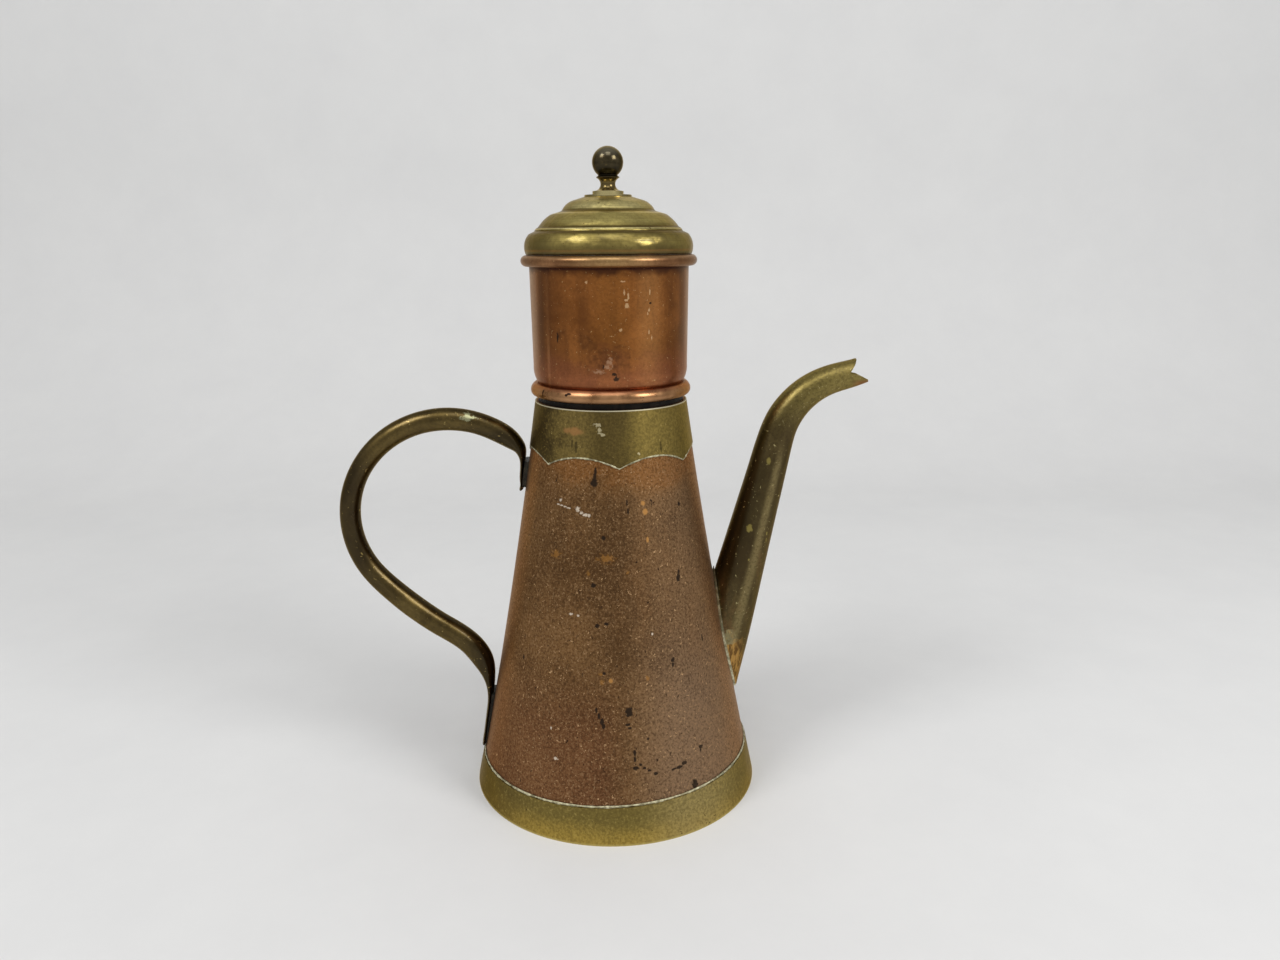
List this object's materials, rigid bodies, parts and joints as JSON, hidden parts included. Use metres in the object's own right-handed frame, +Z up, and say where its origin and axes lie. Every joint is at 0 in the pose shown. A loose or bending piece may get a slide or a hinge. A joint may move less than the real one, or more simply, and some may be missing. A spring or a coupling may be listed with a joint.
{
  "type": "drip coffee pot",
  "caption": "Tall conical copper coffee pot with brass spout, tube handle, scalloped collar and foot band, and a lift-off drip filter section under a domed brass lid.",
  "frame": {"origin": "centre of the pot's foot, on the axis of the pot, at the level of the surface it stands on", "axes": "+Z up along the axis of the pot, +X toward the spout, the handle toward -X, Y across"},
  "size_m": [0.2424, 0.1346, 0.2926],
  "materials": {
    "copper_dark": "brown patinated copper",
    "copper_bright": "satin copper",
    "brass_aged": "aged brass",
    "brass_spout": "aged brass",
    "brass_lid": "aged brass",
    "brass_dark": "dark patinated brass",
    "tinned_copper": "dull tinned",
    "iron_wire": "drawn wire",
    "solder": "dull solder"
  },
  "bodies": {
    "pot": {"pot_body": "copper_dark", "pot_bottom": "copper_dark", "base_band": "brass_aged", "base_band_solder": "solder", "collar": "brass_aged", "collar_solder": "solder", "spout": "brass_spout", "spout_solder": "solder", "handle": "brass_dark", "handle_upper_solder": "solder", "handle_lower_solder": "solder"},
    "filter": {"filter_cylinder": "copper_bright", "rim_wire": "iron_wire", "filter_sleeve": "tinned_copper", "filter_bead": "copper_bright", "filter_plate": "tinned_copper"},
    "tamper": {"tamper_disc": "tinned_copper", "tamper_rod": "tinned_copper", "tamper_knob": "brass_dark"},
    "spreader": {"spreader_dish": "tinned_copper", "spreader_knob": "brass_dark", "spreader_washer": "brass_dark"},
    "lid": {"lid_dome": "brass_lid", "lid_sleeve": "brass_lid", "knob_plate": "brass_lid", "lid_knob": "brass_dark", "knob_nut": "brass_dark"}
  },
  "joints": [
    {"name": "filter_lift", "type": "slide", "parent": "pot", "child": "filter", "axis": [0, 0, 1], "range_m": [0, 0.06]},
    {"name": "tamper_lift", "type": "slide", "parent": "filter", "child": "tamper", "axis": [0, 0, 1], "range_m": [0, 0.075]},
    {"name": "spreader_lift", "type": "slide", "parent": "tamper", "child": "spreader", "axis": [0, 0, 1], "range_m": [0, 0.05]},
    {"name": "lid_lift", "type": "slide", "parent": "spreader", "child": "lid", "axis": [0, 0, 1], "range_m": [0, 0.05]}
  ]
}
